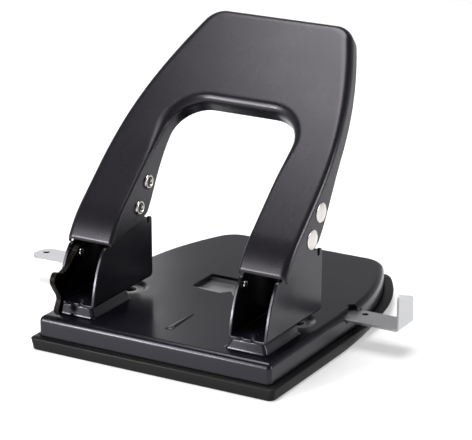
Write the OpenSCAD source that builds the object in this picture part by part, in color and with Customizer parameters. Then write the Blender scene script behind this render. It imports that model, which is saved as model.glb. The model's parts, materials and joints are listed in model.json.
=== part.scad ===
// Two-hole desk punch with an arch handle, pressed-steel base, sliding paper guide and chip tray.
// X runs left to right, Y from the mechanism side to the paper side, Z up.
// The origin is the centre of the base's footprint, on the surface that the tray stands on.

/* [Punching] */
// Distance between the two hole centres
hole_spacing = 80; // [80:1:108]
// Diameter of the punched holes
hole_d = 6; // [5:0.5:6.5]
// Distance from the paper's edge to the hole centres
hole_margin = 12; // [11:0.5:13]

/* [Base] */
// Width of the pressed base
base_w = 108; // [106:1:120]
// Depth of the pressed base
base_d = 129.5; // [125:0.5:140]
// Height of the base's flat top above the surface it stands on
base_top = 14.2; // [13.5:0.1:15]
// Thickness of the base's steel sheet
base_t = 1.2; // [1:0.1:1.2]

/* [Chip tray] */
// Height of the tray's rim
tray_h = 5.7; // [5:0.1:6.5]
// How far the tray stands out in front of the base and beside it
tray_margin = 2.4; // [2:0.1:3]
// How far the tray stands out behind the base
tray_lip = 7; // [5:0.5:8]

/* [Brackets] */
// Width of each bracket over its two walls
bracket_w = 17.6; // [17:0.1:17.8]
// Thickness of the bracket's steel sheet
bracket_t = 1.5; // [1.2:0.1:1.5]
// Depth of each bracket, front to back
bracket_d = 45.2; // [44.2:0.5:48]
// Height of a bracket's floor above the base's top
throat_h = 4.4; // [4.3:0.1:5]

/* [Handle] */
// Slope of the handle's face at rest, in degrees
handle_slope = 40.7; // [38:0.1:43]
// How far the handle turns when it is pressed, in degrees
handle_swing = 44; // [40:1:44]
// Length of the handle's face, from its leg ends to its top edge
handle_len = 120.6; // [110:0.2:125]
// Half the handle's width over its legs
handle_half_w = 51; // [50.5:0.1:52]
// Half the width of the handle's arch opening
arch_half_w = 29.5; // [28:0.1:29.5]
// Distance from the leg ends to the top of the arch opening
arch_len = 74.4; // [65:0.2:85]
// Thickness of the handle's steel sheet
handle_t = 1.2; // [1:0.1:1.2]
// Depth of the handle's edge flange along its grip
flange_h = 8; // [6:0.5:9]

/* [Paper guide] */
// Width of the paper guide bar
guide_w = 13.3; // [12:0.1:14]
// How far the bar stands out to the left of centre
guide_left = 103.4; // [95:0.1:110]
// How far the bar's upright tab is from centre
guide_right = 77.6; // [75:0.1:85]
// Height of the bar's upright tab above its underside
tab_h = 15.8; // [12:0.5:18]

/* [Hidden] */

$fn = 48;
cut = 1;                         // how far a cutting tool runs past the face it cuts
half_spacing = hole_spacing / 2;
run_fit = 0.05;                  // radial clearance of a shaft that turns or slides in its hole
steel_black = [0.06, 0.06, 0.065];
steel_bright = [0.78, 0.78, 0.8];
steel_guide = [0.75, 0.75, 0.78];
plastic_black = [0.04, 0.04, 0.045];

// Y of a point given by its distance behind the base's front edge
function fy(y) = y - base_d / 2;
// Points of an arc about a centre, from one angle to another
function arc(cx, cy, r, a0, a1, steps = 8) =
    [for (i = [0:steps]) let (a = a0 + (a1 - a0) * i / steps) [cx + r * cos(a), cy + r * sin(a)]];
// A list of points and its mirror image about the Y axis, as one closed outline
function both_sides(right) = concat(right, [for (i = [len(right) - 1:-1:0]) [-right[i][0], right[i][1]]]);

// Base outline: straight sides that curve in towards a rounded rear edge
base_sheet_bottom = 3;           // lower edge of the skirt
base_corner_r = 2.5;             // front corners
tray_corner_r = 2.8;
side_curve_y = 70;               // where the sides start to curve in
side_curve_r = 115;
rear_corner_r = 12;
tray_curve_y = 80;
tray_curve_r = 90;
tray_rear_r = 8;
tray_side = 3;                   // how far the tray's rim stands out beside the base
foot_side = 2.4;                 // its underside is narrower, and turns in further forward
foot_curve_y = 50;
foot_curve_r = 240;
foot_rear_r = 10;

// Right half of an outline, from the middle of its front edge to the middle of its rear edge
// half_w is half its width, front and rear its two ends, inset how far it lies inside the outline
function half_outline(half_w, front, rear, corner_r, curve_y, curve_r, inset, rear_r = rear_corner_r) =
    let (cx = half_w - curve_r,
         front_r = max(corner_r, inset + 0.05),
         rear_c = rear - rear_r,
         reach = curve_r - rear_r,
         rear_cx = cx + sqrt(reach * reach - (rear_c - curve_y) * (rear_c - curve_y)),
         blend = atan2(rear_c - curve_y, rear_cx - cx))
    concat(arc(half_w - front_r, fy(front + front_r), front_r - inset, -90, 0, 5),
           arc(cx, fy(curve_y), curve_r - inset, 0, blend, 10),
           arc(rear_cx, fy(rear_c), rear_r - inset, blend, 90, 6));

// Depth and inset of the sloping rim where a sheet's flat top turns down into its skirt
edge_slope = 1.7;
// Solid with a sloping upper rim: straight sides up to edge_slope below its top
// children is its outline, which has to be convex; the second child is the outline at its top
module sloped_block(low, top, slope) {
    translate([0, 0, low]) linear_extrude(top - slope - low) children(0);
    hull() {
        translate([0, 0, top - slope - 0.01]) linear_extrude(0.01) children(0);
        translate([0, 0, top - 0.01]) linear_extrude(0.01) children(1);
    }
}

module base_outline(inset) {
    polygon(both_sides(half_outline(base_w / 2, 0, base_d, base_corner_r,
                                    side_curve_y, side_curve_r, inset)));
}

module tray_outline(inset) {
    polygon(both_sides(half_outline(base_w / 2 + tray_side, -tray_margin, base_d + tray_lip,
                                    tray_corner_r, tray_curve_y, tray_curve_r, inset, tray_rear_r)));
}
module foot_outline() {
    polygon(both_sides(half_outline(base_w / 2 + foot_side, -tray_margin, base_d + tray_lip,
                                    tray_corner_r, foot_curve_y, foot_curve_r, 0, foot_rear_r)));
}

// Bracket, pivot and punch positions, measured from the base's front edge
bracket_y = 6.4;
bracket_z = base_top + throat_h;
bracket_rear_y = bracket_y + bracket_d;
bracket_inner_w = bracket_w - 2 * bracket_t;
pivot_y = 39;
pivot_z = 53;
pivot_r = 2.2;
drive_dy = 7.2;                  // drive rivet behind the pivot and above it, at rest
drive_dz = 9.2;
drive_y = pivot_y + drive_dy;
drive_z = pivot_z + drive_dz;
roller_r = 3.2;
roller_gap = 0.05;
punch_y = 47;
punch_r = hole_d / 2;
stop_y = punch_y - hole_margin;  // paper stop: the rear face of the raised pad under each bracket
stud_y = 17;
stud_z = 38.2;
stud_r = 1;
ear_r = 5.4;

// Pads that carry the brackets, pressed up from the base
pad_front_y = bracket_y + 1.6;   // front edge of the pad's top
pad_left = 7;                    // reach of the pad's top to the left of its bracket's centre
pad_right = 6.2;
pad_slope_left = 4.3;            // how far each sloping side stands out at its foot
pad_slope_right = 2.3;
pad_slope_front = 1;
recess_r = 6.5;                  // round recess around each die
die_r = 9;
die_t = 2;
window_half_w = 17.5;
window_front = 61;
window_rear = 77.2;
window_bow = 1.9;
guide_y = 70.2;
guide_t = 1;
guide_z = base_top - 3.7;        // underside of the bar
slot_gap = 0.4;                  // gap around the bar in the skirt's slots
relief_r = 2.1;
notch_x = base_w / 2 - 2.8;      // inner edge of the notch above each slot
notch_front_y = 62.4;
relief_y = 72.6;
rivet_front_y = 11.2;
rivet_rear_y = 26;
rivet_r = 1.5;
rivet_head_r = 2.3;
rivet_foot_r = 1.9;
rivet_head_h = 0.8;

// A raised pad: a block with sloping sides, shrunk by shrink for the hollow under it
module pad(side, shrink, low, high) {
    hull() {
        for (level = [[low, 1], [high, 0]]) {
            x0 = side * half_spacing - pad_left - pad_slope_left * level[1] + shrink;
            x1 = side * half_spacing + pad_right + pad_slope_right * level[1] - shrink;
            y0 = pad_front_y - pad_slope_front * level[1] + shrink;
            translate([x0, fy(y0), level[0] - (level[1] == 0 ? 0.01 : 0)])
                cube([x1 - x0, stop_y - shrink - y0, 0.01]);
        }
    }
}

// The window's outline: its front edge bows forward, with a pointer in the middle
pointer_half_w = 3.2;
pointer_len = 3.6;
module window_outline() {
    right_front = [for (i = [0:6])
        let (t = i / 6, x = pointer_half_w + (window_half_w - pointer_half_w) * t)
        [x, fy(window_front - window_bow * (1 - t * t))]];
    polygon(both_sides(concat([[0.2, fy(window_front - window_bow + pointer_len)]], right_front,
                              [[window_half_w, fy(window_rear)]])));
}

mark_tip_y = 33;
mark_end_y = 13;
mark_half_w = 1.4;
mark_h = 0.35;

// Rim slope of the sheet's inside, for an even sheet thickness
inner_slope = edge_slope - 0.59 * base_t;

module base_plate() color(steel_black) {
    inner_top = base_top - base_t;
    difference() {
        union() {
            sloped_block(base_sheet_bottom, base_top, edge_slope) {
                base_outline(0);
                base_outline(edge_slope);
            }
            for (side = [-1, 1]) pad(side, 0, base_top - 0.02, bracket_z);
            translate([0, 0, base_top - cut])
                linear_extrude(cut + mark_h)
                    polygon([[0, fy(mark_tip_y)], [-mark_half_w, fy(mark_end_y)], [mark_half_w, fy(mark_end_y)]]);
        }
        sloped_block(base_sheet_bottom - cut, inner_top, inner_slope) {
            base_outline(base_t);
            base_outline(base_t + inner_slope);
        }
        for (side = [-1, 1]) {
            pad(side, base_t, inner_top - 0.02, bracket_z - base_t);
            translate([side * half_spacing, fy(punch_y), 0]) cylinder(r = recess_r, h = 2 * base_top);
            for (y = [rivet_front_y, rivet_rear_y])
                translate([side * half_spacing, fy(y), 0]) cylinder(r = rivet_r, h = 2 * bracket_z);
            // slot that the paper guide passes through
            translate([side > 0 ? base_w / 2 - 3 : -base_w / 2 - 3,
                       fy(guide_y - guide_w / 2 - slot_gap), guide_z - slot_gap])
                cube([6, guide_w + 2 * slot_gap, guide_t + 2 * slot_gap]);
            // open notch above it, with a round relief at its rear end
            translate([side > 0 ? notch_x : -notch_x - 6, fy(notch_front_y), guide_z - slot_gap])
                cube([6, relief_y - notch_front_y, base_top]);
            translate([side * (notch_x + 0.7), fy(relief_y), guide_z - slot_gap])
                cylinder(r = relief_r, h = base_top);
        }
        translate([0, 0, inner_top - cut]) linear_extrude(base_t + 2 * cut) window_outline();
    }
}

// Chip tray: an open tub that the skirt stands in
tray_floor = 1.5;
skirt_gap = 0.3;
ledge_w = 3;                     // inner ledge that the skirt stands on
skirt_rest_gap = 0.1;
lug_w = 14;                      // upright lugs that snap inside the skirt
lug_t = 1.4;
lug_h = 5;

module chip_tray() color(plastic_black) {
    ledge_z = base_sheet_bottom - skirt_rest_gap;
    difference() {
        hull() {
            linear_extrude(0.5) foot_outline();
            translate([0, 0, tray_h - 0.5]) linear_extrude(0.5) tray_outline(0);
        }
        translate([0, 0, ledge_z]) linear_extrude(tray_h) base_outline(-skirt_gap);
        translate([0, 0, tray_floor]) linear_extrude(tray_h) base_outline(ledge_w);
    }
    lug_x = base_w / 2 - base_t - 0.2 - lug_t / 2;
    for (side = [-1, 1], y = [24, 54])
        translate([side * lug_x - lug_t / 2, fy(y) - lug_w / 2, ledge_z - 0.5]) cube([lug_t, lug_w, lug_h]);
}

// Side view of a bracket's wall, as distance behind the base's front edge and height
notch_y = bracket_rear_y - 3.8;
wall_rear_top = bracket_z + 27;
rear_corner = 2.5;
module wall_profile() {
    front = [[bracket_y, bracket_z], [bracket_y + 0.3, bracket_z + 2.4], [bracket_y + 1.1, bracket_z + 5.9],
             [bracket_y + 2.4, bracket_z + 10.4], [bracket_y + 4.1, bracket_z + 14.9],
             [bracket_y + 5.9, bracket_z + 18.4], [bracket_y + 7.8, bracket_z + 21.3],
             [bracket_y + 9, bracket_z + 22.7], [bracket_y + 12.2, bracket_z + 23.3],
             [bracket_y + 14.2, bracket_z + 25.8]];
    ear = arc(pivot_y, pivot_z, ear_r, 90 + handle_slope, 0, 12);
    rear = [[pivot_y + ear_r, wall_rear_top + 0.8], [notch_y, wall_rear_top + 0.8],
            [notch_y, wall_rear_top - 2.4], [notch_y + 1.6, wall_rear_top - 2.4],
            [notch_y + 1.6, wall_rear_top], [bracket_rear_y, wall_rear_top]];
    foot = arc(bracket_rear_y - rear_corner, bracket_z + rear_corner, rear_corner, 0, -90, 5);
    polygon([for (p = concat(front, ear, rear, foot)) [fy(p[0]), p[1]]]);
}

// Extrudes a side view, drawn as Y and Z, from one X to another
module along_x(x0, x1) {
    translate([x0, 0, 0]) rotate([90, 0, 90]) linear_extrude(x1 - x0) children();
}

guide_bush_r = 5.5;
guide_spigot_r = 4.5;
lip_cut_w = 1.4;
module bracket(side) {
    cx = side * half_spacing;
    difference() {
        along_x(cx - bracket_w / 2, cx + bracket_w / 2) wall_profile();
        translate([cx - bracket_inner_w / 2, fy(0), bracket_z + bracket_t])
            cube([bracket_inner_w, base_d, base_d]);
        // holes for the pivot rivet through both walls, and for the stud in the left one
        along_x(cx - bracket_w, cx + bracket_w) translate([fy(pivot_y), pivot_z]) circle(r = pivot_r + run_fit);
        along_x(cx - bracket_w, cx) translate([fy(stud_y), stud_z]) circle(r = stud_r);
        // holes for the rivets and the punch guide, and two nicks in the floor's front lip
        for (y = [rivet_front_y, rivet_rear_y])
            translate([cx, fy(y), bracket_z - cut]) cylinder(r = rivet_r, h = 3 * cut + bracket_t);
        translate([cx, fy(punch_y), bracket_z - cut]) cylinder(r = guide_spigot_r, h = 3 * cut + bracket_t);
        for (dx = [-2.6, 2.6])
            translate([cx + dx - lip_cut_w / 2, fy(bracket_y) - cut, bracket_z - cut])
                cube([lip_cut_w, cut + 0.8, 3 * cut + bracket_t]);
    }
}
module left_bracket() color(steel_black) bracket(-1);
module right_bracket() color(steel_black) bracket(1);

// Rivets that hold the brackets to their pads
module bracket_rivets() color(steel_bright) {
    for (side = [-1, 1], y = [rivet_front_y, rivet_rear_y])
        translate([side * half_spacing, fy(y), 0]) {
            under = bracket_z - base_t;
            translate([0, 0, under - rivet_head_h]) cylinder(r = rivet_foot_r, h = rivet_head_h);
            translate([0, 0, under]) cylinder(r = rivet_r, h = base_t + bracket_t);
            translate([0, 0, bracket_z + bracket_t]) cylinder(r1 = rivet_head_r, r2 = rivet_r, h = rivet_head_h);
        }
}

// Hardened disc under the base's recess, with the cutting hole
module die(side) {
    translate([side * half_spacing, fy(punch_y), base_top - base_t - die_t])
        difference() {
            cylinder(r = die_r, h = die_t);
            translate([0, 0, -cut]) cylinder(r = punch_r + run_fit, h = die_t + 2 * cut);
        }
}
module left_die() color(steel_bright) die(-1);
module right_die() color(steel_bright) die(1);

// Turned bush in the bracket's floor that guides the punch and carries its spring
guide_top = bracket_z + 14.4;
module punch_guide(side) {
    translate([side * half_spacing, fy(punch_y), 0])
        difference() {
            union() {
                translate([0, 0, bracket_z]) cylinder(r = guide_spigot_r, h = bracket_t);
                translate([0, 0, bracket_z + bracket_t])
                    cylinder(r = guide_bush_r, h = guide_top - bracket_z - bracket_t);
            }
            translate([0, 0, bracket_z - cut]) cylinder(r = punch_r + run_fit, h = base_d);
        }
}
module left_punch_guide() color(steel_bright) punch_guide(-1);
module right_punch_guide() color(steel_bright) punch_guide(1);

// Punch: a rod with a flat oblong head that the roller pushes on
head_top = drive_z - roller_r - roller_gap;
head_t = 2;
head_half_w = 4.7;
head_front = 4.4;                // reach of the head in front of the punch's axis and behind it
head_rear = 6.8;
tip_z = bracket_z + 0.7;
module punch(side) {
    translate([side * half_spacing, fy(punch_y), 0]) {
        difference() {
            translate([0, 0, tip_z]) cylinder(r = punch_r, h = head_top - tip_z - head_t / 2);
            // shallow V across the tip, so that it cuts from its edges inward
            translate([0, 0, tip_z]) rotate([90, 0, 0])
                linear_extrude(4 * punch_r, center = true)
                    polygon([[-punch_r - cut, -cut], [punch_r + cut, -cut], [punch_r / 2, 0], [0, 1], [-punch_r / 2, 0]]);
        }
        translate([-head_half_w, -head_front, head_top - head_t])
            cube([2 * head_half_w, head_front + head_rear, head_t]);
    }
}
module left_punch() color(steel_bright) punch(-1);
module right_punch() color(steel_bright) punch(1);

// Return spring: a round-wire coil between the guide and the punch's head
wire_r = 0.55;
coil_r = 4;
coil_turns = 8;
coil_steps = 14;
wire_sides = 6;
spring_gap = 0.05;
module return_spring(side) {
    low = guide_top + wire_r + spring_gap;
    high = head_top - head_t - wire_r - spring_gap;
    rings = coil_turns * coil_steps;
    points = [for (i = [0:rings], j = [0:wire_sides - 1])
        let (turn = 360 * i / coil_steps, around = 360 * j / wire_sides,
             r = coil_r + wire_r * cos(around))
        [r * cos(turn), r * sin(turn), low + (high - low) * i / rings + wire_r * sin(around)]];
    sides = [for (i = [0:rings - 1], j = [0:wire_sides - 1])
        let (a = i * wire_sides + j, b = i * wire_sides + (j + 1) % wire_sides)
        [a, a + wire_sides, b + wire_sides, b]];
    first = [for (j = [0:wire_sides - 1]) j];
    last = [for (j = [wire_sides - 1:-1:0]) rings * wire_sides + j];
    translate([side * half_spacing, fy(punch_y), 0])
        polyhedron(points, concat(sides, [first], [last]));
}
module left_return_spring() color(steel_bright) return_spring(-1);
module right_return_spring() color(steel_bright) return_spring(1);

// Studs riveted into the left wall of each bracket; the lock lever turns on the left one
stud_head_r = 1.5;
stud_head_t = 0.9;
stud_proud = 0.3;                // riveted end outside the wall
module wall_stud(side, neck) {
    wall = side * half_spacing - bracket_inner_w / 2;
    along_x(wall - bracket_t - stud_proud, wall + neck) translate([fy(stud_y), stud_z]) circle(r = stud_r);
    along_x(wall + neck, wall + neck + stud_head_t) translate([fy(stud_y), stud_z]) circle(r = stud_head_r);
}
module left_wall_stud() color(steel_bright) wall_stud(-1, lever_x + lever_t + 0.15 - plate_x + plate_gap);
module right_wall_stud() color(steel_bright) wall_stud(1, 0.3);

// Channel under the base that holds the paper guide, its rivets and its friction spring
channel_half_l = 30;
channel_t = 1;
channel_gap = 0.15;
channel_flange = 5;
module guide_channel() color(steel_bright) {
    inner_w = guide_w + 2 * channel_gap;
    floor_z = guide_z - channel_gap - channel_t;
    under = base_top - base_t;
    difference() {
        union() {
            translate([-channel_half_l, fy(guide_y) - inner_w / 2 - channel_t, floor_z])
                cube([2 * channel_half_l, inner_w + 2 * channel_t, under - floor_z]);
            translate([-channel_half_l, fy(guide_y) - inner_w / 2 - channel_flange, under - channel_t])
                cube([2 * channel_half_l, inner_w + 2 * channel_flange, channel_t]);
        }
        translate([-channel_half_l - cut, fy(guide_y) - inner_w / 2, floor_z + channel_t])
            cube([2 * channel_half_l + 2 * cut, inner_w, under]);
        guide_rivet_places() cylinder(r = 1.2, h = base_top);
    }
}
module guide_rivet_places() {
    for (x = [-24, 24], dy = [-1, 1])
        translate([x, fy(guide_y) + dy * (guide_w / 2 + channel_gap + channel_t + 2), 0]) children();
}
module guide_rivets() color(steel_bright) {
    under = base_top - base_t;
    guide_rivet_places() {
        translate([0, 0, under - channel_t - 0.6]) cylinder(r = 1.9, h = 0.6);
        translate([0, 0, under - channel_t]) cylinder(r = 1.2, h = channel_t);
    }
}

strip_half_l = 5.5;
strip_w = 8;
strip_t = 0.4;
strip_x = 24;
module guide_spring() color(steel_bright) {
    top = base_top - base_t;
    bow = top - guide_z - guide_t - strip_t - 0.1;
    steps = 12;
    upper = [for (i = [0:steps]) let (t = 2 * i / steps - 1) [strip_x + strip_half_l * t, top - bow * (1 - t * t)]];
    translate([0, fy(guide_y) + strip_w / 2, 0]) rotate([90, 0, 0]) linear_extrude(strip_w)
        polygon(concat(upper, [for (i = [steps:-1:0]) [upper[i][0], upper[i][1] - strip_t]]));
}

// Paper guide: a flat bar with a rounded left end and an upright tab on its right
tab_fall = 4;                    // how much lower the tab's rear edge is
module tab_profile() {
    y0 = fy(guide_y) - guide_w / 2;
    y1 = y0 + guide_w;
    top = guide_z + tab_h;
    slope = atan2(tab_fall, guide_w);
    polygon(concat([[y0, guide_z], [y1, guide_z]],
                   arc(y1 - 2, top - tab_fall - 1.8, 2, 0, 90 - slope, 5),
                   arc(y0 + 1, top - 1.2, 1, 90 - slope, 180, 5)));
}
guide_hole_r = 1.2;
module paper_guide() color(steel_guide) {
    end_r = guide_w / 2;
    difference() {
        union() {
            translate([-guide_left + end_r, fy(guide_y) - guide_w / 2, guide_z])
                cube([guide_left - end_r + guide_right, guide_w, guide_t]);
            translate([-guide_left + end_r, fy(guide_y), guide_z]) cylinder(r = end_r, h = guide_t);
            along_x(guide_right - guide_t, guide_right) tab_profile();
        }
        translate([-guide_left + 4.7, fy(guide_y) + 1.2, 0]) cylinder(r = guide_hole_r, h = base_top);
        translate([guide_right - 20, fy(guide_y) + 2.8, 0]) cylinder(r = guide_hole_r, h = base_top);
    }
}

// Handle, drawn in its face's own plane: X across, Y along the slope from the leg ends, Z out of the face
face_over_pivot = 10;            // distance of the face's outer surface from the pivot
pivot_s = 24.3;                  // pivot's distance along the face from the leg ends
taper_s = 37;                    // where the sides start to draw in
taper_r = 197;
grip_corner_r = 10;
arch_corner_r = 15;
leg_end_s = 1.5;                 // the legs end here, curled down towards the bracket
curl_s = 18;
curl_r = 44;
function curl(s) = s < curl_s ? (curl_s - s) * (curl_s - s) / (2 * curl_r) : 0;
// Side view of the curled surface, moved down by depth, from the leg ends to where it lies flat
function curl_line(depth) = [for (i = [0:6])
    let (s = leg_end_s + (curl_s - leg_end_s) * i / 6) [s, -curl(s) - depth]];
module on_handle() {
    translate([0, fy(pivot_y), pivot_z]) rotate([handle_slope, 0, 0])
        translate([0, -pivot_s, face_over_pivot]) children();
}

// Outer outline of the face, moved inwards by inset
function handle_half(inset) =
    let (cx = handle_half_w - taper_r,
         top_c = handle_len - grip_corner_r,
         reach = taper_r - grip_corner_r,
         corner_x = cx + sqrt(reach * reach - (top_c - taper_s) * (top_c - taper_s)),
         blend = atan2(top_c - taper_s, corner_x - cx))
    concat([[handle_half_w - inset, -cut]],
           arc(cx, taper_s, taper_r - inset, 0, blend, 12),
           arc(corner_x, top_c, grip_corner_r - inset, blend, 90, 7));
// The arch opening between the legs, moved outwards by grow
module arch_outline(grow) {
    polygon(both_sides(concat([[arch_half_w + grow, -2 * cut]],
                              arc(arch_half_w - arch_corner_r, arch_len - arch_corner_r,
                                  arch_corner_r + grow, 0, 90, 8))));
}
// Sloping shoulder where the face turns down into its outer flange
shoulder = 1.8;
inner_shoulder = shoulder - 0.59 * handle_t;
// Side view of the edge flange: deep round the rivets, shallow along the grip, in Y and -Z
rivet_lobe = [[27.3, 17], [33, 15], [41, 12], [48.5, 9.8], [58, flange_h]];
module flange_profile() {
    polygon(concat(curl_line(0), [[curl_s + 0.01, cut], [handle_len + cut, cut], [handle_len + cut, -flange_h]],
                   [for (i = [len(rivet_lobe) - 1:-1:0]) [rivet_lobe[i][0], -rivet_lobe[i][1]]],
                   [[26, -17.2], [20, -14.2], [leg_end_s, -4.7]]));
}
// Side view of the hollow under the face
module hollow_profile() {
    far = handle_len + cut;
    polygon(concat([[-cut, -30], [-cut, -curl(leg_end_s) - handle_t]], curl_line(handle_t),
                   [[far, -handle_t], [far, -30]]));
}

module handle_blank(low, top, inset, slope) {
    difference() {
        sloped_block(low, top, slope) {
            polygon(both_sides(handle_half(inset)));
            polygon(both_sides(handle_half(inset + slope)));
        }
        translate([0, 0, low - cut]) linear_extrude(top - low + 2 * cut) arch_outline(inset);
    }
}

module handle() color(steel_black) {
    deepest = 18;
    on_handle()
        difference() {
            intersection() {
                handle_blank(-deepest, 0, 0, shoulder);
                along_x(-base_w, base_w) flange_profile();
            }
            intersection() {
                handle_blank(-deepest - cut, -handle_t, handle_t, inner_shoulder);
                along_x(-base_w, base_w) hollow_profile();
            }
            rivet_holes();
        }
}
// Holes for the pivot and drive rivets through the flanges, in the handle's own plane
module rivet_holes() {
    along_x(-base_w, base_w) translate([pivot_s, -face_over_pivot]) circle(r = pivot_r);
    along_x(-base_w, base_w) translate([drive_s, drive_n]) circle(r = pivot_r);
}
drive_s = pivot_s + drive_dy * cos(handle_slope) + drive_dz * sin(handle_slope);
drive_n = -face_over_pivot - drive_dy * sin(handle_slope) + drive_dz * cos(handle_slope);

// Rivets through each leg: a domed head outside, and a rolled rim inside
dome_r = 4;
dome_h = 1.3;
rim_r = 3.1;
rim_h = 1;
rivet_bore_r = 1.2;
module leg_rivet(side, y, z) {
    outer = handle_half_w;
    inner = arch_half_w;
    mirror([side > 0 ? 0 : 1, 0, 0])
        translate([0, fy(y), z]) rotate([0, 90, 0])
            difference() {
                union() {
                    translate([0, 0, inner]) cylinder(r = pivot_r, h = outer - inner);
                    translate([0, 0, inner - rim_h])
                        cylinder(r1 = rim_r - 0.7, r2 = rim_r, h = rim_h);
                    intersection() {
                        dome_sphere_r = (dome_r * dome_r + dome_h * dome_h) / (2 * dome_h);
                        translate([0, 0, outer + dome_h - dome_sphere_r]) sphere(r = dome_sphere_r);
                        translate([0, 0, outer]) cylinder(r = dome_r, h = dome_h + cut);
                    }
                }
                translate([0, 0, inner - rim_h - cut]) cylinder(r = rivet_bore_r, h = 6);
            }
}
module left_pivot_rivet() color(steel_bright) leg_rivet(-1, pivot_y, pivot_z);
module right_pivot_rivet() color(steel_bright) leg_rivet(1, pivot_y, pivot_z);
module left_drive_rivet() color(steel_bright) leg_rivet(-1, drive_y, drive_z);
module right_drive_rivet() color(steel_bright) leg_rivet(1, drive_y, drive_z);

// Rollers on the drive rivets, which push the punches' heads
roller_clear = 2.2;              // room left between the roller and each wall
module drive_roller(side) {
    cx = side * half_spacing;
    reach = bracket_inner_w / 2 - roller_clear;
    along_x(cx - reach, cx + reach)
        translate([fy(drive_y), drive_z])
            difference() {
                circle(r = roller_r);
                circle(r = pivot_r);
            }
}
module left_drive_roller() color(steel_bright) drive_roller(-1);
module right_drive_roller() color(steel_bright) drive_roller(1);

// Washers on the pivot rivets, between the brackets' walls and the handle's flanges
washer_r = 4.2;
washer_gap = 0.05;
module pivot_washers() color(steel_bright) {
    inner_x0 = arch_half_w + handle_t;
    inner_x1 = half_spacing - bracket_w / 2 - washer_gap;
    outer_x0 = half_spacing + bracket_w / 2 + washer_gap;
    outer_x1 = handle_half_w - handle_t;
    for (side = [-1, 1], span = [[inner_x0, inner_x1], [outer_x0, outer_x1]])
        mirror([side > 0 ? 0 : 1, 0, 0])
            along_x(span[0], span[1]) translate([fy(pivot_y), pivot_z])
                difference() {
                    circle(r = washer_r);
                    circle(r = pivot_r);
                }
}

// Lock plate on the left leg's two rivets. The lever's peg runs in its curved slot, and drops
// into a notch at either end of the swing
plate_r = 13.6;
plate_t = 1;
plate_gap = 0.95;                // between the plate and the left bracket's left wall
plate_x = -half_spacing - bracket_inner_w / 2 + plate_gap;
peg_r = 1.1;
peg_gap = 0.25;
stud_dy = pivot_y - stud_y;
stud_dz = pivot_z - stud_z;
stud_dist = sqrt(stud_dy * stud_dy + stud_dz * stud_dz);
slot_r = 8.4;                    // radius of the peg's slot about the pivot
// the peg moves straight away from the pivot where its arm is square to the pivot's radius
peg_angle = 180 + atan2(stud_dz, stud_dy) + acos(slot_r / stud_dist);
peg_travel = 2.8;
peg_arm = sqrt(stud_dist * stud_dist - slot_r * slot_r);
lever_swing = 2 * asin(peg_travel / 2 / peg_arm);
module lock_plate() color(steel_bright) {
    a0 = peg_angle - 20;
    a1 = atan2(drive_dz, drive_dy) + 18 + 360;
    half_slot = peg_r + peg_gap;
    along_x(plate_x, plate_x + plate_t)
        translate([fy(pivot_y), pivot_z])
            difference() {
                union() {
                    polygon(concat([[0, 0]], arc(0, 0, plate_r, a0, a1, 20)));
                    circle(r = 4.4);
                }
                circle(r = pivot_r);
                translate([drive_dy, drive_dz]) circle(r = pivot_r);
                polygon(concat(arc(0, 0, slot_r - half_slot, peg_angle, peg_angle + handle_swing, 12),
                               arc(0, 0, slot_r + half_slot, peg_angle + handle_swing, peg_angle, 12)));
                for (turn = [0, handle_swing]) rotate(peg_angle + turn) {
                    translate([slot_r, 0]) circle(r = half_slot);
                    translate([slot_r, -half_slot]) square([peg_travel, 2 * half_slot]);
                    translate([slot_r + peg_travel, 0]) circle(r = half_slot);
                }
            }
}

// Lock lever: a plate on the left stud, with a thumb piece and tail in front and a peg behind
lever_t = 1.2;
lever_x = plate_x + plate_t + 0.12;
lever_hub_r = 2.6;
peg_y = pivot_y + slot_r * cos(peg_angle);
peg_z = pivot_z + slot_r * sin(peg_angle);
module lock_lever() color(plastic_black) {
    arm_half_w = 1.7;
    difference() {
        union() {
            along_x(lever_x, lever_x + lever_t) {
                // arm from the stud back to the peg
                translate([fy(stud_y), stud_z]) rotate(atan2(peg_z - stud_z, peg_y - stud_y))
                    translate([0, -arm_half_w]) square([peg_arm, 2 * arm_half_w]);
                translate([fy(peg_y), peg_z]) circle(r = arm_half_w);
            }
            along_x(plate_x, lever_x + 0.1) translate([fy(peg_y), peg_z]) circle(r = peg_r);
            along_x(plate_x, lever_x + lever_t) {
                translate([fy(stud_y), stud_z]) circle(r = lever_hub_r);
                lever_front();
            }
        }
        along_x(-base_w, 0) translate([fy(stud_y), stud_z]) circle(r = stud_r + run_fit);
    }
}
// Front part of the lever: top edge, thumb piece, tail, and back up to the stud
module lever_front() {
    side_outline([[17, 40.8], [14.9, 39.3], [11.8, 37.4], [9.4, 35.4], [8.6, 34.5], [5.9, 33.4], [3.8, 32.8],
                  [1.8, 33.8], [0, 34.2], [-1.1, 33.4], [-2.1, 31.7], [-2, 29.9], [-0.3, 27], [1.9, 23.8],
                  [2.2, 22.3], [1.2, 20.3], [0.1, 18.5], [0.2, 17.2], [1, 16], [2.2, 15.3], [2.8, 16.6],
                  [4.1, 20.3], [5.4, 23], [7.8, 25.9], [10.6, 28.6], [14.2, 31.1], [16.8, 32.8], [18.6, 35.2],
                  [19, 37.5]]);
}
// Side view given as distance behind the base's front edge, and height
module side_outline(points) {
    polygon([for (p = points) [fy(p[0]), p[1]]]);
}

chip_tray();
base_plate();
left_bracket();
right_bracket();
bracket_rivets();
left_die();
right_die();
left_punch_guide();
right_punch_guide();
left_wall_stud();
right_wall_stud();
guide_channel();
guide_rivets();
guide_spring();
handle();
left_pivot_rivet();
right_pivot_rivet();
left_drive_rivet();
right_drive_rivet();
left_drive_roller();
right_drive_roller();
pivot_washers();
lock_plate();
left_punch();
right_punch();
left_return_spring();
right_return_spring();
lock_lever();
paper_guide();
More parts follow.
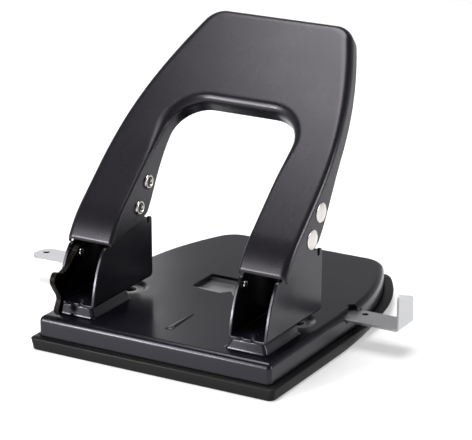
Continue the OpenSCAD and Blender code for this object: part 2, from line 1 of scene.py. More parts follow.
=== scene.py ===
import json
import math
import bpy
import bmesh
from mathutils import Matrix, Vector


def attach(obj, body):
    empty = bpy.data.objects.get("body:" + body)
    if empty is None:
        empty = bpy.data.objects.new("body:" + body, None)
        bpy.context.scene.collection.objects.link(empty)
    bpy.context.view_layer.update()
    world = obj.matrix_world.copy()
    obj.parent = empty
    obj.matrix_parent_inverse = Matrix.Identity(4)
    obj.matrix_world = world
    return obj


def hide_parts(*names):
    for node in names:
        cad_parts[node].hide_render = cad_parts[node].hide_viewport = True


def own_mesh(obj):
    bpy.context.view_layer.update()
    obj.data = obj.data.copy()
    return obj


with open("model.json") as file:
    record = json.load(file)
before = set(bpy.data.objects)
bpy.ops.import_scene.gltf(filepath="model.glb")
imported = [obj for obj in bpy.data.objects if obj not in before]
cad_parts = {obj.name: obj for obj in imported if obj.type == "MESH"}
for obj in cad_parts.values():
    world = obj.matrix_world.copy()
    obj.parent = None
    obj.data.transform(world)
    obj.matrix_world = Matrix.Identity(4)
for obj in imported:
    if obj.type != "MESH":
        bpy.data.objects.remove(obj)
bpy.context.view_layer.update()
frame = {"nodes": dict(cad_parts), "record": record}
nodes = frame["nodes"]

MM = 0.001
BASE_W, BASE_D = 108.0, 129.5
HALF_DEPTH = BASE_D / 2           # Y below is measured from the base's front edge
PUNCH_X, PUNCH_Y = 40.0, 47.0     # the two punches stand 80 mm apart
PIVOT_Y, PIVOT_Z = 39.0, 53.0
DRIVE_Y, DRIVE_Z = 46.2, 62.2
SIDES = ((-1, "left"), (1, "right"))


# ------------------------------------------------------------------ helpers
def at(x, y, z):
    """A point in metres, from millimetres with Y measured from the base's front edge."""
    return Vector((x * MM, (y - HALF_DEPTH) * MM, z * MM))


def arc(cx, cy, r, a0, a1, steps):
    """Points of an arc, angles in degrees, both ends included."""
    return [(cx + r * math.cos(math.radians(a0 + (a1 - a0) * i / steps)),
             cy + r * math.sin(math.radians(a0 + (a1 - a0) * i / steps))) for i in range(steps + 1)]


def circle(cx, cy, r, steps):
    """Points of a full circle."""
    return arc(cx, cy, r, 0, 360 - 360 / steps, steps - 1)


def mirrored(right):
    """Closed loop from its right half, which runs from the lower middle to the upper middle."""
    return right + [(-x, y) for x, y in reversed(right)]


class Builder:
    """Collects vertices and faces, in millimetres, and makes one object of them."""

    def __init__(self):
        self.bm = bmesh.new()

    def row(self, points):
        return [self.bm.verts.new(p) for p in points]

    def strip(self, a, b, closed=True):
        n = len(a)
        for i in range(n if closed else n - 1):
            j = (i + 1) % n
            self.bm.faces.new((a[i], a[j], b[j], b[i]))

    def rows(self, rows, closed=True):
        for a, b in zip(rows, rows[1:]):
            self.strip(a, b, closed)

    def cap(self, row, flip=False):
        self.bm.faces.new(list(reversed(row)) if flip else row)

    def fill(self, loops):
        """Fills a level region bounded by closed loops of vertices."""
        edges = []
        for loop in loops:
            for i in range(len(loop)):
                pair = (loop[i], loop[(i + 1) % len(loop)])
                edges.append(self.bm.edges.get(pair) or self.bm.edges.new(pair))
        bmesh.ops.triangle_fill(self.bm, use_beauty=True, use_dissolve=False, edges=edges, normal=(0, 0, 1))

    def make(self, name, material, convert=None, outside=None):
        """The object. An open sheet is turned so that its face nearest outside[0] looks along outside[1]."""
        bmesh.ops.recalc_face_normals(self.bm, faces=self.bm.faces)
        if outside is not None:
            probe, direction = Vector(outside[0]), Vector(outside[1])
            self.bm.faces.ensure_lookup_table()
            nearest = min(self.bm.faces, key=lambda f: (f.calc_center_median() - probe).length)
            if nearest.normal.dot(direction) < 0:
                bmesh.ops.reverse_faces(self.bm, faces=self.bm.faces)
        mesh = bpy.data.meshes.new(name)
        self.bm.to_mesh(mesh)
        self.bm.free()
        for v in mesh.vertices:
            v.co = convert(v.co) if convert else at(*v.co)
        for p in mesh.polygons:
            p.use_smooth = True
        obj = bpy.data.objects.new(name, mesh)
        bpy.context.scene.collection.objects.link(obj)
        mesh.materials.append(material)
        return obj


def modify(obj, kind, name, **values):
    """Adds a modifier with the given settings."""
    m = obj.modifiers.new(name, kind)
    for k, v in values.items():
        setattr(m, k, v)


def edge_bevel(obj, width, segments, angle):
    """Rounds the edges sharper than an angle in degrees; width in millimetres."""
    modify(obj, "BEVEL", "edge_round", width=width * MM, segments=segments, limit_method="ANGLE",
           angle_limit=math.radians(angle), harden_normals=False, use_clamp_overlap=True)
    modify(obj, "WEIGHTED_NORMAL", "flat_faces", keep_sharp=True, weight=60)


def thicken(obj, t):
    """Gives an open sheet its thickness, inwards from its outer face."""
    modify(obj, "SOLIDIFY", "sheet", thickness=t * MM, offset=-1, use_even_offset=True,
           use_quality_normals=True)


def bake(obj, sharp=38):
    """Applies the modifiers, and marks its sharp edges."""
    bpy.context.view_layer.update()
    evaluated = obj.evaluated_get(bpy.context.evaluated_depsgraph_get())
    mesh = bpy.data.meshes.new_from_object(evaluated)
    obj.modifiers.clear()
    obj.data = mesh
    for p in mesh.polygons:
        p.use_smooth = True
    mesh.set_sharp_from_angle(angle=math.radians(sharp))


def cut_away(obj, cutter):
    """Boolean difference, applied at once; the cutter is removed."""
    modify(obj, "BOOLEAN", "cut", operation="DIFFERENCE", object=cutter, solver="EXACT")
    bake(obj)
    bpy.data.objects.remove(cutter)


def block(x0, x1, y0, y1, z0, z1):
    """Box-shaped cutter."""
    b = Builder()
    low = b.row([(x0, y0, z0), (x1, y0, z0), (x1, y1, z0), (x0, y1, z0)])
    high = b.row([(x0, y0, z1), (x1, y0, z1), (x1, y1, z1), (x0, y1, z1)])
    b.strip(low, high)
    b.cap(low, True)
    b.cap(high)
    return b.make("cutter", PAINT)


def rod(x, y, z0, z1, r):
    """Upright round cutter."""
    b = Builder()
    rings = [b.row([(px, py, z) for px, py in circle(x, y, r, 24)]) for z in (z0, z1)]
    b.strip(*rings)
    b.cap(rings[0], True)
    b.cap(rings[1])
    return b.make("cutter", PAINT)


def lathe_x(b, cx, cy, cz, side, profile, steps=48):
    """Turned piece on an X axis: profile is (distance along X outward on that side, radius) pairs."""
    rows = []
    for h, r in profile:
        if r < 1e-6:
            rows.append([b.bm.verts.new((cx + side * h, cy, cz))])
        else:
            rows.append(b.row([(cx + side * h, cy + r * math.cos(2 * math.pi * i / steps),
                                cz + r * math.sin(2 * math.pi * i / steps)) for i in range(steps)]))
    for p, q in zip(rows, rows[1:]):
        if len(p) == 1 or len(q) == 1:
            tip, ring = (p[0], q) if len(p) == 1 else (q[0], p)
            for i in range(steps):
                b.bm.faces.new((tip, ring[i], ring[(i + 1) % steps]))
        else:
            b.strip(p, q)


def done(obj, body, slot, *replaced):
    """Fixes a finished piece to its body, and takes out the CAD nodes it stands for; slot is not used."""
    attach(obj, body)
    if replaced:
        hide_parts(*replaced)
    return obj


def between(z, keys):
    """Value at z on the straight lines through (z, value) pairs."""
    for (z0, y0), (z1, y1) in zip(keys, keys[1:]):
        if z <= z1:
            return y0 + (y1 - y0) * (z - z0) / (z1 - z0)
    return keys[-1][1]


# ------------------------------------------------------------------ materials
NOISE_LOW, NOISE_HIGH = 0.35, 0.65     # most of a noise texture's values lie between these


def new_material(name, color, roughness, metallic=0.0, specular=0.5, tint=(1.0, 1.0, 1.0)):
    m = bpy.data.materials.new(name)
    m.use_nodes = True
    shader = m.node_tree.nodes["Principled BSDF"]
    shader.inputs["Base Color"].default_value = (*color, 1)
    shader.inputs["Roughness"].default_value = roughness
    shader.inputs["Metallic"].default_value = metallic
    shader.inputs["Specular IOR Level"].default_value = specular
    shader.inputs["Specular Tint"].default_value = (*tint, 1)
    return m, m.node_tree, shader


def noise(tree, scale, detail=2.0, rough=0.5, stretch=None):
    n = tree.nodes
    coord = n.new("ShaderNodeTexCoord")
    tex = n.new("ShaderNodeTexNoise")
    tex.inputs["Scale"].default_value = scale
    tex.inputs["Detail"].default_value = detail
    tex.inputs["Roughness"].default_value = rough
    if stretch:
        mapping = n.new("ShaderNodeMapping")
        mapping.inputs["Scale"].default_value = stretch
        tree.links.new(coord.outputs["Object"], mapping.inputs["Vector"])
        tree.links.new(mapping.outputs["Vector"], tex.inputs["Vector"])
    else:
        tree.links.new(coord.outputs["Object"], tex.inputs["Vector"])
    return tex


def ramp(tree, source, low, high):
    """Spreads a noise over the values from low to high."""
    r = tree.nodes.new("ShaderNodeMapRange")
    r.inputs["From Min"].default_value = NOISE_LOW
    r.inputs["From Max"].default_value = NOISE_HIGH
    r.inputs["To Min"].default_value = low
    r.inputs["To Max"].default_value = high
    tree.links.new(source, r.inputs["Value"])
    return r.outputs["Result"]


def color_mix(tree, factor, dark, light):
    mix = tree.nodes.new("ShaderNodeMix")
    mix.data_type = "RGBA"
    mix.inputs["A"].default_value = (*dark, 1)
    mix.inputs["B"].default_value = (*light, 1)
    tree.links.new(factor, mix.inputs["Factor"])
    return mix.outputs["Result"]


def bump(tree, shader, height, strength, distance):
    node = tree.nodes.new("ShaderNodeBump")
    node.inputs["Strength"].default_value = strength
    node.inputs["Distance"].default_value = distance
    tree.links.new(height, node.inputs["Height"])
    tree.links.new(node.outputs["Normal"], shader.inputs["Normal"])


def black_paint():
    """Gloss enamel on pressed steel: faint orange peel, slightly uneven gloss."""
    m, tree, shader = new_material("black_paint", (0.004, 0.0037, 0.006), 0.16, specular=0.32,
                                   tint=(0.93, 0.90, 1.0))
    blotch = noise(tree, 45, 3)
    tree.links.new(ramp(tree, blotch.outputs["Fac"], 0.20, 0.26), shader.inputs["Roughness"])
    tree.links.new(color_mix(tree, blotch.outputs["Fac"], (0.0034, 0.003, 0.005), (0.0048, 0.0044, 0.0072)),
                   shader.inputs["Base Color"])
    peel = noise(tree, 650, 2)
    bump(tree, shader, peel.outputs["Fac"], 0.06, 0.0002)
    return m


def textured_black():
    """Powder coat with a fine pebble texture."""
    m, tree, shader = new_material("textured_black", (0.006, 0.0055, 0.0072), 0.31, specular=0.32,
                                   tint=(0.97, 0.91, 1.0))
    grain = noise(tree, 2600, 3, 0.6)
    cloud = noise(tree, 60, 3)
    tree.links.new(ramp(tree, cloud.outputs["Fac"], 0.265, 0.29), shader.inputs["Roughness"])
    tree.links.new(color_mix(tree, grain.outputs["Fac"], (0.0045, 0.0042, 0.0058), (0.0078, 0.0072, 0.0095)),
                   shader.inputs["Base Color"])
    bump(tree, shader, grain.outputs["Fac"], 0.14, 0.0001)
    return m


def nickel():
    """Plated rivets and studs, with fine wear in the polish."""
    m, tree, shader = new_material("nickel", (0.6, 0.57, 0.54), 0.18, metallic=1.0)
    fine = noise(tree, 900, 3)
    tree.links.new(ramp(tree, fine.outputs["Fac"], 0.12, 0.24), shader.inputs["Roughness"])
    tree.links.new(color_mix(tree, fine.outputs["Fac"], (0.55, 0.52, 0.49), (0.66, 0.63, 0.60)),
                   shader.inputs["Base Color"])
    bump(tree, shader, fine.outputs["Fac"], 0.05, 0.0001)
    return m


def brushed_metal(name, tone, rough, metallic):
    """Grey metal brushed along X."""
    m, tree, shader = new_material(name, (tone, tone, tone), rough, metallic=metallic)
    brushed = noise(tree, 300, 4, 0.6, stretch=(0.25, 3.0, 3.0))
    tree.links.new(ramp(tree, brushed.outputs["Fac"], rough - 0.06, rough + 0.08), shader.inputs["Roughness"])
    tree.links.new(color_mix(tree, brushed.outputs["Fac"], (tone * 0.9, tone * 0.91, tone * 0.93),
                             (tone * 1.08, tone * 1.08, tone * 1.1)), shader.inputs["Base Color"])
    bump(tree, shader, brushed.outputs["Fac"], 0.08, 0.0001)
    return m


def plastic(name, dark, light, rough, specular):
    """Moulded black plastic with a fine spark-eroded grain."""
    m, tree, shader = new_material(name, dark, rough, specular=specular)
    grain = noise(tree, 1800, 4, 0.65)
    cloud = noise(tree, 40, 2)
    tree.links.new(ramp(tree, cloud.outputs["Fac"], rough - 0.05, rough + 0.06), shader.inputs["Roughness"])
    tree.links.new(color_mix(tree, grain.outputs["Fac"], dark, light), shader.inputs["Base Color"])
    bump(tree, shader, grain.outputs["Fac"], 0.2, 0.00012)
    return m


PAINT = black_paint()
COAT = textured_black()
NICKEL = nickel()
ZINC = brushed_metal("zinc", 0.5, 0.34, 0.9)
TOOL_STEEL = brushed_metal("hard_steel", 0.4, 0.3, 1.0)
SPRING_STEEL = brushed_metal("spring_steel", 0.42, 0.3, 1.0)
TRAY_BLACK = plastic("tray_plastic", (0.0035, 0.0035, 0.004), (0.006, 0.006, 0.0065), 0.4, 0.13)
LEVER_BLACK = plastic("lever_plastic", (0.004, 0.0025, 0.002), (0.006, 0.004, 0.003), 0.4, 0.06)

SLOT_MATERIAL = {"black_paint": PAINT, "textured_black": COAT, "nickel": NICKEL, "zinc": ZINC,
                 "hard_steel": TOOL_STEEL, "spring_steel": SPRING_STEEL, "tray_plastic": TRAY_BLACK,
                 "lever_plastic": LEVER_BLACK}
for part in frame["record"]["subparts"]:
    obj = nodes[part["node"]]
    obj.data.materials.clear()
    obj.data.materials.append(SLOT_MATERIAL[part["material_slot"]])

# ------------------------------------------------------------------ handle
SLOPE = math.radians(40.7)
FACE_OVER_PIVOT, PIVOT_S = 10.0, 24.3
HANDLE_LEN, HANDLE_HALF = 120.6, 51.0
TAPER_S, TAPER_R, GRIP_R = 37.0, 197.0, 10.0
ARCH_HALF, ARCH_LEN, ARCH_R = 29.5, 74.4, 15.0
SHEET = 1.2
LEG_END_S, CURL_S, CURL_R = 1.5, 18.0, 44.0
LIP, LIP_R = 1.3, 1.5
LEG_STATIONS = ([LEG_END_S + LIP * t for t in (0.0, 0.08, 0.2, 0.35, 0.55, 0.8)]
                + [LEG_END_S + LIP + 0.1 + (CURL_S - LEG_END_S - LIP - 0.1) * i / 9 for i in range(10)])


def on_handle(p):
    """From the handle's own plane (X across, Y along the slope, Z out of the face), in mm, to the frame."""
    s, n = p[1] - PIVOT_S, FACE_OVER_PIVOT + p[2]
    return at(p[0], PIVOT_Y + s * math.cos(SLOPE) - n * math.sin(SLOPE),
              PIVOT_Z + s * math.sin(SLOPE) + n * math.cos(SLOPE))


def smooth(t):
    """Eased step from 0 to 1."""
    t = min(max(t, 0.0), 1.0)
    return t * t * (3 - 2 * t)


def outer_loop(inset_of):
    """Outer edge from the left leg's end over the grip to the right leg's; inset_of(s) moves it inwards."""
    cx = HANDLE_HALF - TAPER_R
    reach = TAPER_R - GRIP_R
    top_c = HANDLE_LEN - GRIP_R
    corner_x = cx + math.sqrt(reach ** 2 - (top_c - TAPER_S) ** 2)
    blend = math.degrees(math.atan2(top_c - TAPER_S, corner_x - cx))
    right = [(HANDLE_HALF, s, 1.0, 0.0) for s in LEG_STATIONS + [22.0, 27.0, 32.0]]
    for i in range(25):
        a = math.radians(blend * i / 24)
        right.append((cx + TAPER_R * math.cos(a), TAPER_S + TAPER_R * math.sin(a),
                      math.cos(a), math.sin(a)))
    for i in range(1, 13):
        a = math.radians(blend + (90 - blend) * i / 12)
        right.append((corner_x + GRIP_R * math.cos(a), top_c + GRIP_R * math.sin(a),
                      math.cos(a), math.sin(a)))
    steps = 10
    for i in range(1, steps + 1):
        right.append((corner_x * (1 - i / steps), HANDLE_LEN, 0.0, 1.0))
    whole = [(-x, s, -nx, ns) for x, s, nx, ns in right[:-1]] + list(reversed(right))
    return [(x - nx * inset_of(s), s - ns * inset_of(s)) for x, s, nx, ns in whole]


def arch_loop(grow_of):
    """Arch opening's edge from the left leg's end over the top to the right's; grow_of(s) moves it into the face."""
    straight = ARCH_LEN - ARCH_R
    stations = LEG_STATIONS + [22.0, 27.0, 32.0, 37.0, 41.0, 45.0, 49.0, 52.5, 56.0]
    right = [(ARCH_HALF, s, -1.0, 0.0) for s in stations]
    for i in range(15):
        a = math.radians(90 * i / 14)
        right.append((ARCH_HALF - ARCH_R + ARCH_R * math.cos(a), straight + ARCH_R * math.sin(a),
                      -math.cos(a), -math.sin(a)))
    steps = 8
    for i in range(1, steps + 1):
        right.append(((ARCH_HALF - ARCH_R) * (1 - i / steps), ARCH_LEN, 0.0, -1.0))
    whole = [(-x, s, -nx, ns) for x, s, nx, ns in right[:-1]] + list(reversed(right))
    return [(x - nx * grow_of(s), s - ns * grow_of(s)) for x, s, nx, ns in whole]


# depth of the edge flanges along the handle
INNER_DEPTH = [(0, 4.4), (1.5, 4.75), (4.0, 5.3), (6.3, 6.2), (11.1, 8.7), (16.2, 12.0), (20.8, 15.1),
               (24.0, 16.9), (26.0, 17.2), (29.0, 16.6), (33, 15.2), (37, 13.7), (41, 12.1), (45, 10.8),
               (49, 9.7), (54, 8.6), (60, 8.0), (130, 8.0)]
OUTER_DEPTH = [(0, 4.4), (1.5, 4.75), (4.0, 5.3), (6.3, 6.2), (11.1, 8.5), (16.2, 11.4), (20.8, 13.9),
               (24.0, 15.2), (26.0, 15.5), (29.0, 15.1), (33, 14.1), (37, 12.9), (41, 11.6), (45, 10.5),
               (49, 9.6), (54, 8.6), (60, 8.0), (130, 8.0)]


def curl(s):
    """How far the face has curled down towards the leg ends."""
    bend = (CURL_S - s) ** 2 / (2 * CURL_R) if s < CURL_S else 0.0
    into_lip = LEG_END_S + LIP - s
    return bend + (LIP_R - math.sqrt(LIP_R ** 2 - into_lip ** 2) if 0 < into_lip < LIP_R else 0.0)


def fold_radius(s):
    """Outside radius of the bend between the face and the outer flange."""
    return 2.6 + 1.3 * smooth((s - 60) / 50)


def arch_radius(s):
    """Outside radius of the bend between the face and the arch's flange."""
    return 1.5 + 2.2 * smooth((s - 40) / 25)


def handle_edge(b, loop_of, radius_of, keys):
    """Rows from the face over the bend and down the flange, face side first."""
    base = loop_of(lambda s: 0.0)
    rows = []
    arc_steps, flange_steps = 7, 4
    for extra in (0.8, 0.0):
        pts = loop_of(lambda s: radius_of(s) + extra)
        rows.append(b.row([(x, s, -curl(s)) for x, s in pts]))
    for k in range(1, arc_steps + 1):
        phi = math.pi / 2 * k / arc_steps
        pts = loop_of(lambda s: radius_of(s) * (1 - math.sin(phi)))
        rows.append(b.row([(x, s, -curl(s) - radius_of(q) * (1 - math.cos(phi)))
                           for (x, s), (_, q) in zip(pts, base)]))

    def flange(s):
        return max(between(s, keys) - curl(s) - radius_of(s), 0.1)

    for k in range(1, flange_steps + 1):
        rows.append(b.row([(x, s, -curl(s) - radius_of(s) - flange(s) * k / flange_steps) for x, s in base]))
    b.rows(rows, closed=False)
    return rows


def build_handle():
    b = Builder()
    face_outer = handle_edge(b, outer_loop, fold_radius, OUTER_DEPTH)[0]
    face_inner = handle_edge(b, arch_loop, arch_radius, INNER_DEPTH)[0]
    # bands across each curled leg, then one flat fill for the rest of the face
    n = len(LEG_STATIONS) - 1
    b.strip(face_outer[:n + 1], face_inner[:n + 1], closed=False)
    b.strip(face_inner[-n - 1:], face_outer[-n - 1:], closed=False)
    b.fill([face_outer[n:-n] + list(reversed(face_inner[n:-n]))])
    return b.make("handle_shell", COAT, on_handle, outside=((0, 100, 0), (0, 0, 1)))


handle_shell = build_handle()
thicken(handle_shell, SHEET)
edge_bevel(handle_shell, 0.3, 2, 50)
done(handle_shell, "handle", "textured_black", "handle")

# ------------------------------------------------------------------ rivets
def rivet(name, side, y, z):
    """Low domed head outside the leg, shank through it, and a rolled rim with an open bore inside."""
    b = Builder()
    outer, inner = HANDLE_HALF, ARCH_HALF
    dome_r, dome_h, wall, shank, rim, rim_inner = 4.1, 0.55, 0.25, 2.2, 3.1, 1.75
    sphere = (dome_r ** 2 + dome_h ** 2) / (2 * dome_h)
    top = math.asin((dome_r - 0.25) / sphere)
    profile = []
    for i in range(9):
        a = top * i / 8
        profile.append((outer + wall + dome_h - sphere + sphere * math.cos(a), sphere * math.sin(a)))
    profile += [(outer + wall, dome_r), (outer + 0.1, dome_r), (outer, dome_r - 0.08),
                (outer, shank + 0.5), (outer, shank), (inner, shank), (inner, rim - 0.1)]
    mid, half = (rim + rim_inner) / 2, (rim - rim_inner) / 2
    for i in range(9):
        a = math.pi * i / 8
        profile.append((inner - 0.25 - 0.7 * math.sin(a), mid + half * math.cos(a)))
    profile += [(inner + 0.3, 1.5), (inner + 1.6, 1.4), (inner + 3.2, 1.25), (inner + 3.2, 0.0)]
    lathe_x(b, 0, y, z, side, profile)
    return b.make(name, NICKEL)


for label, y, z in (("pivot", PIVOT_Y, PIVOT_Z), ("drive", DRIVE_Y, DRIVE_Z)):
    for side, word in SIDES:
        node = f"{word}_{label}_rivet"
        done(rivet(node + "_turned", side, y, z), "handle", "nickel", node)

# ------------------------------------------------------------------ base
BASE_TOP, SKIRT_LOW, BASE_BEND = 14.2, 3.0, 2.7
PAD_H = 4.38                      # height of the pads under the brackets
WINDOW_Y, WINDOW_REAR, WINDOW_HALF, WINDOW_BOW = 61.0, 77.2, 17.5, 1.9
POINTER_HALF, POINTER_H = 3.2, 3.6
GUIDE_Y = 70.2                    # middle of the paper guide


def outline(half_w, front, rear, corner_r, curve_y, curve_r, rear_r, inset):
    """Closed plan outline: straight sides that curve in to a rounded rear edge, moved inwards by inset."""
    cx = half_w - curve_r
    front_r = max(corner_r, inset + 0.05)
    rear_c = rear - rear_r
    rear_cx = cx + math.sqrt((curve_r - rear_r) ** 2 - (rear_c - curve_y) ** 2)
    blend = math.degrees(math.atan2(rear_c - curve_y, rear_cx - cx))
    right = (arc(half_w - front_r, front + front_r, front_r - inset, -90, 0, 8)
             + arc(cx, curve_y, curve_r - inset, 0, blend, 26)
             + arc(rear_cx, rear_c, rear_r - inset, blend, 90, 12))
    return mirrored(right)


def base_loop(inset):
    """The base's outline."""
    return outline(BASE_W / 2, 0.0, BASE_D, 1.9, 70.0, 115.0, 12.0, inset)


def tray_loop(inset, up):
    """The tray's outline, from its foot (up 0) to its rim (up 1)."""
    rim = outline(57.0, -2.4, 136.5, 1.6, 80.0, 90.0, 8.0, inset)
    foot = outline(56.4, -2.4, 136.5, 2.8, 50.0, 240.0, 10.0, inset)
    return [(x0 + (x1 - x0) * up, y0 + (y1 - y0) * up) for (x0, y0), (x1, y1) in zip(foot, rim)]


def rounded_rect(x0, x1, y0, y1, r, steps=5):
    """Closed outline of a rectangle with rounded corners."""
    return (arc(x1 - r, y0 + r, r, -90, 0, steps) + arc(x1 - r, y1 - r, r, 0, 90, steps)
            + arc(x0 + r, y1 - r, r, 90, 180, steps) + arc(x0 + r, y0 + r, r, 180, 270, steps))


def window_loop(grow):
    """Window with a bowed front edge and a pointer, widened by grow."""
    right = [(0.35, WINDOW_Y - WINDOW_BOW + POINTER_H - grow)]
    for i in range(9):
        t = i / 8
        x = POINTER_HALF + (WINDOW_HALF - POINTER_HALF) * t
        right.append((x + grow * (0.6 if i == 0 else t), WINDOW_Y - WINDOW_BOW * (1 - t * t) - grow))
    right += [(WINDOW_HALF + grow, WINDOW_Y + 3.0), (WINDOW_HALF + grow, WINDOW_REAR + grow)]
    return mirrored(right)


def build_base():
    """Pressed plate: bent skirt, two pads, two recesses, the window and the centre mark."""
    b = Builder()
    top = BASE_TOP
    rim = [b.row([(x, y, top) for x, y in base_loop(BASE_BEND + 0.3)])]
    steps = 9
    for k in range(steps + 1):
        phi = math.pi / 2 * k / steps
        loop = base_loop(BASE_BEND * (1 - math.sin(phi)))
        rim.append(b.row([(x, y, top - BASE_BEND * (1 - math.cos(phi))) for x, y in loop]))
    for z in (9.5, 7.0, 5.0, SKIRT_LOW):
        rim.append(b.row([(x, y, z) for x, y in base_loop(0.0)]))
    b.rows(rim)
    loops = [rim[0]]

    # raised pads under the brackets: a flat ring, a concave foot, a slope and a rounded top
    for cx, left_foot in ((-PUNCH_X, 10.6), (PUNCH_X, 11.3)):
        ring = rounded_rect(cx - left_foot - 0.2, cx + 8.9, 6.6, 35.75, 2.0)
        rows = [b.row([(x, y, top) for x, y in ring])]
        for k in range(13):
            u = k / 12
            x0 = cx - left_foot + (left_foot - 7.0) * u
            x1 = cx + 8.5 - 2.3 * u
            y0, y1 = 7.0 + 1.0 * u, 35.35 - 0.35 * min(1, 3 * u)
            loop = rounded_rect(x0, x1, y0, y1, 1.6 - 0.5 * u)
            rows.append(b.row([(x, y, top + PAD_H * smooth(u)) for x, y in loop]))
        b.rows(rows)
        b.cap(rows[-1])
        loops.append(rows[0])

    # dished recess round each die: radius and depth
    recess = ((8.6, 0), (8.2, 0), (7.5, 0.1), (6.9, 0.34), (6.4, 0.66), (6.0, 0.95), (5.5, 1.12), (5.0, 1.17),
              (3.5, 1.18), (3.2, 1.24), (3.1, 1.5))
    for cx in (-PUNCH_X, PUNCH_X):
        rows = [b.row([(x, y, top - depth) for x, y in circle(cx, PUNCH_Y, r, 48)]) for r, depth in recess]
        b.rows(rows)
        loops.append(rows[0])

    # the window's rounded edge
    rows = [b.row([(x, y, top - depth) for x, y in window_loop(grow)])
            for grow, depth in ((0.6, 0), (0.28, 0), (0.08, 0.05), (0.0, 0.2), (0.0, 1.2))]
    b.rows(rows)
    loops.append(rows[0])

    # centre mark: a low pressed-up wedge
    rows = []
    for u, h in ((1.2, 0.0), (1.0, 0.0), (0.8, 0.3), (0.55, 0.42), (0.25, 0.42)):
        front, tip, z = 13.0 + (1 - u) * 1.6, 33.0 - (1 - u) * 3, top + h
        rows.append(b.row([(-1.7 * u, front, z), (1.7 * u, front, z), (0.95 * u, 22.0, z),
                           (0.12 * u, tip, z), (-0.12 * u, tip, z), (-0.95 * u, 22.0, z)]))
    b.rows(rows)
    b.cap(rows[-1])
    loops.append(rows[0])

    b.fill(loops)
    shell = b.make("base_shell", PAINT, outside=((0, 100, top), (0, 0, 1)))
    thicken(shell, SHEET)
    bake(shell)
    # for the paper guide: a low slot in the skirt, an open notch above it and a round relief behind
    slot_low, notch_rear = 9.9, 72.6
    for side in (-1, 1):
        slot = sorted((side * 50.5, side * 56))
        cut_away(shell, block(*slot, 63.0, 77.4, slot_low, 12.1))
        notch = sorted((side * 51.2, side * 56))
        cut_away(shell, block(*notch, 62.4, notch_rear, 10.9, 16))
        cut_away(shell, rod(side * 51.9, notch_rear, slot_low, 16, 2.1))
    return shell


done(build_base(), "base", "black_paint", "base_plate")


# ------------------------------------------------------------------ chip tray
def build_tray():
    """Open tub: outer side and rim, the ledge the base stands on, the floor, and four lugs inside the skirt."""
    b = Builder()
    rows = []
    tray_h = 5.0
    for inset, z in ((0.7, 0.0), (0.3, 0.1), (0.08, 0.3), (0.0, 0.7), (0.0, 2.5), (0.0, 4.4), (0.05, 4.7),
                     (0.25, 4.95), (0.5, 5.05)):
        rows.append(b.row([(x, y, z) for x, y in tray_loop(inset, min(z / tray_h, 1))]))
    for inset, z in ((-0.5, 5.7), (-0.32, 5.6), (-0.25, 5.4), (-0.25, 2.9), (2.9, 2.9), (3.1, 2.7),
                     (3.2, 1.7), (3.5, 1.5)):
        rows.append(b.row([(x, y, z) for x, y in base_loop(inset)]))
    b.rows(rows)
    b.cap(rows[0], True)
    b.cap(rows[-1])
    for side in (-1, 1):
        for y in (24.0, 54.0):
            x = side * 51.9
            side_loop = rounded_rect(x - 0.65, x + 0.65, y - 7, y + 7, 0.4, 3)
            low = b.row([(px, py, 2.5) for px, py in side_loop])
            mid = b.row([(px, py, 6.9) for px, py in side_loop])
            high = b.row([(px, py, 7.4) for px, py in rounded_rect(x - 0.4, x + 0.2, y - 6.6, y + 6.6, 0.25, 3)])
            b.rows([low, mid, high])
            b.cap(low, True)
            b.cap(high)
    obj = b.make("tray_tub", TRAY_BLACK)
    obj.data.set_sharp_from_angle(angle=math.radians(50))
    return obj


done(build_tray(), "tray", "tray_plastic", "chip_tray")

# ------------------------------------------------------------------ brackets
BR_LOW, BR_REAR, BR_BEND, BR_HALF, EAR_R = 18.6, 51.6, 1.9, 8.8, 5.4
# front edge of a wall: height and distance behind the base's front edge
BR_EDGE = [(18.6, 6.4), (21.0, 6.7), (24.5, 7.5), (29.0, 8.8), (33.5, 10.5), (37.0, 12.3), (39.9, 14.2),
           (41.3, 15.4)]


def rear_edge(z):
    """Rear edge of a bracket's wall, rounded at its foot."""
    r = 2.5
    drop = r - (z - BR_LOW)
    return BR_REAR - r + math.sqrt(max(r ** 2 - drop ** 2, 0.0)) if drop > 0 else BR_REAR


